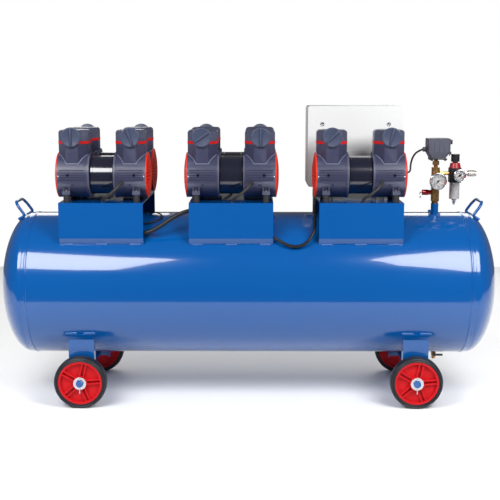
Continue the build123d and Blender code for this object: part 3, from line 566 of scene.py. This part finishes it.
def handle_rods():
    """Both lifting handles: bent rods with their feet laid on the domes."""
    outline = [(0.788, -0.062, 0.6175), (0.766, -0.062, 0.630), (0.799, -0.062, 0.676),
               (0.799, 0.062, 0.676), (0.766, 0.062, 0.630), (0.788, 0.062, 0.6175)]
    bends = [0.007, 0.028, 0.028, 0.007]
    for side, label in ((-1, "left"), (1, "right")):
        points = [Vector((side * x, y, z)) for x, y, z in outline]
        path = [points[0]]
        for before, here, after, bend in zip(points, points[1:], points[2:], bends):
            arriving = (here - before).normalized()
            leaving = (after - here).normalized()
            turn = arriving.angle(leaving)
            back = bend * math.tan(turn / 2)
            inward = (leaving - arriving).normalized()
            centre = here + inward * (bend / math.cos(turn / 2))
            normal = arriving.cross(leaving).normalized()
            arm = here - arriving * back - centre
            for step in range(13):
                path.append(centre + Matrix.Rotation(turn * step / 12, 3, normal) @ arm)
        path.append(points[-1])
        curve = bpy.data.curves.new(f"handle_{label}", "CURVE")
        curve.dimensions = "3D"
        curve.bevel_depth = 0.005
        curve.bevel_resolution = 8
        curve.use_fill_caps = True
        line = curve.splines.new("POLY")
        line.points.add(len(path) - 1)
        for target, point in zip(line.points, path):
            target.co = (*point, 1)
        piece = bpy.data.objects.new(f"lifting_handle_{label}", curve)
        bpy.context.scene.collection.objects.link(piece)
        curve.materials.append(blue)
        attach(piece, "tank")
        if side < 0:
            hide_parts("lifting_handles")


handle_rods()


# ---------------------------------------------------------------- wheels

def tyre_profile():
    """A solid tyre's section: flat tread with round shoulders, and a lip round the rim."""
    section = [(-0.0185, 0.0736)]
    section += [(-0.0196, 0.0765), (-0.0178, 0.0790)]
    round_corner(section, (-0.0125, 0.0805), 0.0072, 165, 90)
    section += [(-0.006, 0.0879), (-0.0015, 0.088), (-0.0012, 0.0873), (0.0012, 0.0873),
                (0.0015, 0.088), (0.006, 0.0879)]
    round_corner(section, (0.0125, 0.0805), 0.0072, 90, 15)
    section += [(0.0178, 0.0790), (0.0196, 0.0765), (0.0185, 0.0736)]
    return section


for end, x in (("left", -WHEEL_X), ("right", WHEEL_X)):
    for side, y in (("front", -0.217), ("rear", 0.217)):
        label = f"{side}_{end}"
        body = f"wheel_{label}"
        tyre = lathe(f"tyre_ring_{label}", tyre_profile(), (x, y, WHEEL_Z), (0, 1, 0),
                     tyre_rubber, segments=128, closed=True, body=body, slot="tyre_rubber")
        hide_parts(f"tyre_{label}")
        dress(f"wheel_{label}", wheel_red, bevel=0.0012)


# ---------------------------------------------------------------- pumps

for name, material, bevel in (
    ("crankcases", cast, 0.0014), ("cylinder_heads", cast, 0.0014),
    ("head_gaskets", gasket, 0.0012), ("fan_guards", guard, 0.0006),
    ("rubber_feet", rubber, 0.0), ("foot_bolts", zinc, 0.0004), ("bearings", zinc, 0.0),
):
    dress(name, material, bevel)
for number in range(1, 6):
    dress(f"rotor_{number}", steel)
    dress(f"pistons_{number}", alloy)


def stator_profile():
    """The enamelled ring between the crankcases, with shallow steps near both ends."""
    return [(-0.040, 0.035), (-0.040, 0.0615), (-0.037, 0.0625), (-0.036, 0.064),
            (-0.030, 0.064), (-0.0295, 0.0635), (0.0295, 0.0635), (0.030, 0.064),
            (0.036, 0.064), (0.037, 0.0625), (0.040, 0.0615), (0.040, 0.035)]


for number, pump in enumerate(PUMPS, start=1):
    ring = lathe(f"stator_{number}", stator_profile(), at_pump(pump, 0, 0, CRANK_HEIGHT),
                 (1, 0, 0), enamel, segments=128, closed=True, slot="stator_black", smooth=30)
    if number == 1:
        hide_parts("stators")


def filter_cap(name, centre, facing, angle):
    """A round intake cap: a rolled rim, a dished face and a tapered grip ridge across it."""
    made = bmesh.new()
    profile = [(0.0, 0.0), (0.0, 0.031), (0.001, 0.0324), (0.0062, 0.0325), (0.0078, 0.0319),
               (0.0088, 0.0305), (0.0092, 0.0285), (0.0086, 0.0272), (0.0086, 0.0)]
    out = Vector((0, -facing, 0))
    lathe_into(made, profile, centre, out, segments=96)
    turn = Matrix.Rotation(-facing * math.radians(angle), 4, "Y")
    ridge_place = Matrix.Translation(centre + out * 0.0105) @ turn
    verts = block_into(made, (0.057, 0.0058, 0.0095), ridge_place, bevel=0.0014, segments=3)
    for vertex in verts:
        local = ridge_place.inverted() @ vertex.co
        if local.y * -facing > 0.001:
            local.z *= 0.62
            local.x *= 0.96
        vertex.co = ridge_place @ local
    return from_bmesh(name, made, cap_plastic, slot="cap_plastic", smooth=38)


for number, pump in enumerate(PUMPS, start=1):
    for side, angle in zip((-1, 1), pump[3]):
        label = "left" if side < 0 else "right"
        place = at_pump(pump, side * CAP_X, CAP_BACK, CAP_HEIGHT)
        cap = filter_cap(f"filter_cap_{number}_{label}", place, pump[2], angle)
        if number == 1 and side < 0:
            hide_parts("filter_caps")


def screw(made, place, out, radius, height):
    """A pan-head screw: a low dome with a rim."""
    profile = [(0.0, radius), (height * 0.5, radius), (height * 0.85, radius * 0.8),
               (height, radius * 0.45), (height, 0.0)]
    lathe_into(made, profile, place, out, segments=20)


def pump_screws():
    """The bright screws that hold the guards to the crankcases, front and back."""
    made = bmesh.new()
    for pump in PUMPS:
        for side in (-1, 1):
            for face in (-1, 1):
                place = at_pump(pump, side * 0.1415, face * 0.0748, CRANK_HEIGHT)
                screw(made, place, Vector((0, pump[2] * face, 0)), 0.0024, 0.0014)
    return from_bmesh("guard_screws", made, zinc, slot="zinc_steel")


pump_screws()


def thin_line(name, paths, diameter, material, cyclic=False):
    """Fine round beads along several paths of points."""
    curve = bpy.data.curves.new(name, "CURVE")
    curve.dimensions = "3D"
    curve.bevel_depth = diameter / 2
    curve.bevel_resolution = 3
    curve.use_fill_caps = True
    for path in paths:
        line = curve.splines.new("POLY")
        line.points.add(len(path) - 1)
        line.use_cyclic_u = cyclic
        for target, point in zip(line.points, path):
            target.co = (*point, 1)
    piece = bpy.data.objects.new(name, curve)
    bpy.context.scene.collection.objects.link(piece)
    curve.materials.append(material)
    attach(piece, "tank")
    return piece


def casting_seam_highlights():
    """The raised lip where each eight-sided cylinder block grows out of its round barrel, drawn
    in a lighter copy of the cast colour as a painted highlight.
    """
    front, side, corner, shoulder = 0.063, 0.050, 0.020, 0.025
    outline = [(-side, shoulder), (-side, -shoulder), (-corner, -front), (corner, -front),
               (side, -shoulder), (side, shoulder), (corner, front), (-corner, front)]
    paths = []
    for pump in PUMPS:
        for block in (-HEAD_X, HEAD_X):
            path = []
            for (x0, y0), (x1, y1) in zip(outline, outline[1:] + outline[:1]):
                for step in range(12):
                    x = x0 + (x1 - x0) * step / 12
                    y = y0 + (y1 - y0) * step / 12
                    height = CRANK_HEIGHT + math.sqrt(BARREL_RADIUS**2 - y**2)
                    path.append(at_pump(pump, block + x, y, height + 0.0003))
            paths.append(path)
    return thin_line("casting_seam_highlights", paths, 0.0026, cast_highlight_paint, True)


casting_seam_highlights()


def lead_glands():
    """The rubber sleeve where each lead enters its crankcase."""
    made = bmesh.new()
    for pump in PUMPS:
        inner = at_pump(pump, 0.067, -0.068, 0.064)
        outer = at_pump(pump, 0.0665, -0.078, 0.0635)
        axis = (outer - inner).normalized()
        profile = [(-0.004, 0.0), (-0.004, 0.0075), (0.005, 0.0075), (0.009, 0.0066),
                   (0.011, 0.0056), (0.011, 0.0)]
        lathe_into(made, profile, inner, axis, segments=32)
    return from_bmesh("lead_glands", made, rubber, slot="foot_rubber")


lead_glands()

LEAD_DIAMETER = 0.0095
LEAD_ROUTE = [(67, -69, 64), (64, -88, 60), (48, -96, 42), (25, -90, 24), (6, -72, 12),
              (0, -68, -8)]
for number, pump in enumerate(PUMPS, start=1):
    points = [at_pump(pump, *(value * MM for value in point)) for point in LEAD_ROUTE]
    lead = smooth_line(f"pump_lead_{number}", points, LEAD_DIAMETER, sleeve)
    if number == 1:
        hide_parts("power_cables")

ROUTES = {
    "air_hose": (0.014, [
        (-420, -160, 590), (-374, -172, 584), (-330, -180, 589), (-288, -182, 612),
        (-248, -180, 641), (-208, -176, 660), (-164, -170, 666), (-120, -160, 668)]),
    "loop_cable": (0.005, [
        (-412, -24, 641), (-378, -26, 640), (-346, -28, 640), (-314, -40, 638),
        (-294, -64, 632), (-296, -90, 624), (-318, -110, 616), (-348, -120, 611),
        (-380, -122, 611), (-412, -116, 612)]),
    "feed_cable": (0.010, [
        (20, -158, 594), (60, -170, 584), (97, -190, 567), (134, -202, 548),
        (168, -203, 546), (200, -198, 562), (219, -180, 594), (223, -148, 630),
        (224, -106, 660), (225, -60, 680), (226, -12, 688), (227, 26, 695),
        (229, 52, 713)]),
    "switch_cable": (0.0065, [
        (594, -30, 855), (576, -28, 848), (565, -14, 832), (562, 10, 811), (564, 38, 791),
        (569, 66, 775), (566, 89, 765), (551, 98.5, 762)]),
}
for name, (diameter, route) in ROUTES.items():
    points = [tuple(value * MM for value in point) for point in route]
    piece = smooth_line(name, points, diameter, sheath)
    if name == "air_hose":
        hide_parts("air_hoses")


# ---------------------------------------------------------------- control box

dress("control_box", white, bevel=0.0012)
dress("control_box_door", white, bevel=0.0012)
dress("door_latch", chrome, bevel=0.0004)
dress("box_rails", zinc, bevel=0.0006)

BOX_X = 0.3695
BOX_FRONT = 0.0302
PLUG_SPREAD = 0.115
PLUG_HEIGHT = 0.938
UPPER_RAIL = 0.885
LOWER_RAIL = 0.785


def box_fittings():
    """The two plugs in the box's mounting holes."""
    made = bmesh.new()
    for side in (-1, 1):
        place = (BOX_X + side * PLUG_SPREAD, BOX_FRONT, PLUG_HEIGHT)
        profile = [(-0.0016, 0.0), (-0.0016, 0.0032), (0.0, 0.0045), (0.0002, 0.0068),
                   (0.0014, 0.0072), (0.0022, 0.0066), (0.0022, 0.0046), (-0.001, 0.003),
                   (-0.001, 0.0)]
        lathe_into(made, profile, place, (0, -1, 0), segments=32)
    return from_bmesh("box_plugs", made, zinc, slot="zinc_steel")


def contactors():
    """What the box holds: a mounting rail with a row of contactors and a terminal strip."""
    made = bmesh.new()
    for height in (UPPER_RAIL, LOWER_RAIL):
        block_into(made, (0.27, 0.008, 0.035), Matrix.Translation((BOX_X, 0.046, height)))
    rail = from_bmesh("contactor_rails", made, zinc, slot="zinc_steel")
    made = bmesh.new()
    for place in range(5):
        x = BOX_X - 0.11 + place * 0.055
        block_into(made, (0.045, 0.062, 0.078), Matrix.Translation((x, 0.081, UPPER_RAIL)), 0.002)
        block_into(made, (0.032, 0.02, 0.03), Matrix.Translation((x, 0.121, UPPER_RAIL)), 0.002)
    for place in range(12):
        x = BOX_X - 0.11 + place * 0.02
        block_into(made, (0.018, 0.03, 0.045), Matrix.Translation((x, 0.065, LOWER_RAIL)), 0.001)
    from_bmesh("contactors", made, black, slot="knob_black")
    return rail


box_fittings()
contactors()


# ---------------------------------------------------------------- pressure group

dress("manifold", brass, bevel=0.0008)
dress("safety_valve", valve_red, bevel=0.0006)
dress("safety_ring", zinc, bevel=0.0003)
dress("pressure_switch", switch_grey, bevel=0.001)
dress("switch_knob", black, bevel=0.0006)
dress("regulator_body", regulator_black, bevel=0.0008)
dress("regulator_knob", black, bevel=0.0004)
dress("regulator_bowl", bowl_clear)
dress("bowl_drain", chrome, bevel=0.0003)
dress("outlet_coupler", nickel, bevel=0.0005)
dress("coupler_sleeve", nickel, bevel=0.0003)
dress("drain_cock", brass, bevel=0.0005)
dress("drain_handle", black, bevel=0.0006)
dress("main_gauge_needle", dial_ink)
dress("regulator_gauge_needle", dial_ink)


def switch_details():
    """Moulded ribs, the cover's seam, the flange under the switch and its screws."""
    made = bmesh.new()
    middle, face, base = 0.645, -0.0602, 0.8235
    for x in (0.6105, 0.6795):
        block_into(made, (0.0028, 0.0022, 0.058), Matrix.Translation((x, face, 0.863)), 0.0006)
    for x in (0.628, 0.645, 0.662):
        block_into(made, (0.0012, 0.0012, 0.04), Matrix.Translation((x, face, 0.868)), 0.0003)
    seam = Matrix.Translation((middle, face - 0.0001, 0.8905))
    block_into(made, (0.0765, 0.0014, 0.0016), seam, 0.0004)
    from_bmesh("switch_ribs", made, switch_grey, slot="switch_grey")
    made = bmesh.new()
    block_into(made, (0.058, 0.050, 0.005), Matrix.Translation((middle, GROUP.y, base)), 0.0015)
    for x in (0.622, 0.668):
        for y in (-0.050, -0.010):
            lathe_into(made, [(0.0, 0.0), (0.0, 0.0042), (0.005, 0.0042), (0.006, 0.003),
                              (0.006, 0.0)], (x, y, base), (0, 0, -1), segments=20)
    block_into(made, (0.006, 0.012, 0.010), Matrix.Translation((0.686, -0.040, 0.843)), 0.0012)
    return from_bmesh("switch_flange", made, black, slot="switch_grey")


switch_details()


def socket_details():
    """The weld round the gauge socket's foot and the small plug beside it."""
    made = bmesh.new()
    for step in range(22):
        angle = 2 * math.pi * step / 22
        x, y = GROUP.x + 0.0175 * math.cos(angle), GROUP.y + 0.0175 * math.sin(angle)
        height = TANK_AXIS.z + math.sqrt(TANK_RADIUS**2 - y**2)
        shape = Matrix.Translation((x, y, height)) @ Matrix.Diagonal((0.004, 0.004, 0.003, 1))
        bmesh.ops.create_icosphere(made, subdivisions=3, radius=1, matrix=shape)
    profile = [(0.0, 0.0), (0.0, 0.0052), (0.009, 0.0052), (0.0098, 0.0042), (0.0098, 0.0)]
    lathe_into(made, profile, (GROUP.x - 0.012, GROUP.y, 0.643), (-1, 0, 0), segments=24)
    return from_bmesh("socket_weld", made, blue, slot="blue_paint", smooth=70)


socket_details()


def door_hinges():
    """Two hinges on the control box: the middle knuckle rides on the door, the outer ones on the
    tank.
    """
    hinge_line = (0.538, 0.1905)
    for height in (0.775, 0.945):
        for offset, body in ((-0.012, "tank"), (0.0, "control_box_door"), (0.012, "tank")):
            profile = [(0.0, 0.0), (0.0, 0.0026), (0.0004, 0.0031), (0.0112, 0.0031),
                       (0.0116, 0.0026), (0.0116, 0.0)]
            level = height + offset
            lathe(f"hinge_{round(level * 1000)}", profile, (*hinge_line, level), (0, 0, 1),
                  zinc, segments=24, body=body, slot="box_white")


door_hinges()


def flat_arc(made, centre, y, inner, outer, start, end, steps):
    """A thin flat ring sector on a dial, angles clockwise from straight up in degrees."""
    rows = []
    for step in range(steps + 1):
        angle = math.radians(start + (end - start) * step / steps)
        direction = Vector((math.sin(angle), 0, math.cos(angle)))
        rows.append([made.verts.new(Vector((centre.x, y, centre.z)) + direction * radius)
                     for radius in (inner, outer)])
    for first, second in zip(rows, rows[1:]):
        made.faces.new((first[0], first[1], second[1], second[0]))


def gauge(name, centre, radius, back_y):
    """A pressure gauge: case, bright bezel, printed dial and lens. Its needle is a CAD node."""
    depth = back_y - GAUGE_FRONT
    place = Vector((centre.x, back_y, centre.z))
    shell = [(0.0, 0.0), (0.0, radius - 0.006), (0.002, radius - 0.0035),
             (0.004, radius - 0.0025), (depth - 0.008, radius - 0.0018),
             (depth - 0.0075, radius - 0.005), (depth - 0.0075, 0.0)]
    case = lathe(f"{name}_case", shell, place, (0, -1, 0), case_black, segments=96,
                 slot="gauge_case", smooth=50)
    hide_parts(name)
    ring = [(depth - 0.009, radius - 0.0018), (depth - 0.0085, radius - 0.0004),
            (depth - 0.0075, radius), (depth - 0.002, radius), (depth - 0.0004, radius - 0.0008),
            (depth, radius - 0.002), (depth - 0.0008, radius - 0.0031),
            (depth - 0.003, radius - 0.0036), (depth - 0.0072, radius - 0.0038)]
    lathe(f"{name}_bezel", ring, place, (0, -1, 0), chrome, segments=96, closed=True,
          slot="lock_chrome", smooth=50)
    dial_y = GAUGE_FRONT + 0.0064
    plate = [(0.0, radius - 0.0042), (0.0002, radius - 0.0042), (0.0003, 0.0)]
    lathe(f"{name}_dial", plate, (centre.x, dial_y, centre.z), (0, -1, 0), dial_white,
          segments=96, slot="gauge_case")
    made = bmesh.new()
    rim = radius - 0.0055
    ink_y = dial_y - 0.0005
    for tick in range(51):
        angle = -135 + 270 * tick / 50
        long_tick = tick % 10 == 0
        width = 1.0 if long_tick else 0.55
        length = 0.17 if long_tick else 0.09
        flat_arc(made, centre, ink_y, rim * (1 - length), rim, angle - width,
                 angle + width, 1)
    flat_arc(made, centre, ink_y, rim * 0.79, rim * 0.805, -135, 135, 48)
    from_bmesh(f"{name}_ticks", made, dial_ink, slot="needle_black")
    made = bmesh.new()
    flat_arc(made, centre, ink_y - 0.0001, rim * 0.90, rim, 82, 135, 16)
    from_bmesh(f"{name}_red_zone", made, dial_red, slot="valve_red")
    made = bmesh.new()
    lathe_into(made, [(0.0, 0.0), (0.0, radius - 0.0042), (0.0010, radius - 0.0042),
                      (0.0014, 0.0)], (centre.x, GAUGE_FRONT + 0.003, centre.z), (0, -1, 0), 96)
    from_bmesh(f"{name}_lens", made, lens, slot="bowl_clear")


gauge("main_gauge", Vector((0.641, 0, 0.750)), 0.029, -0.060)
gauge("regulator_gauge", Vector((0.713, 0, 0.770)), 0.021, -0.064)
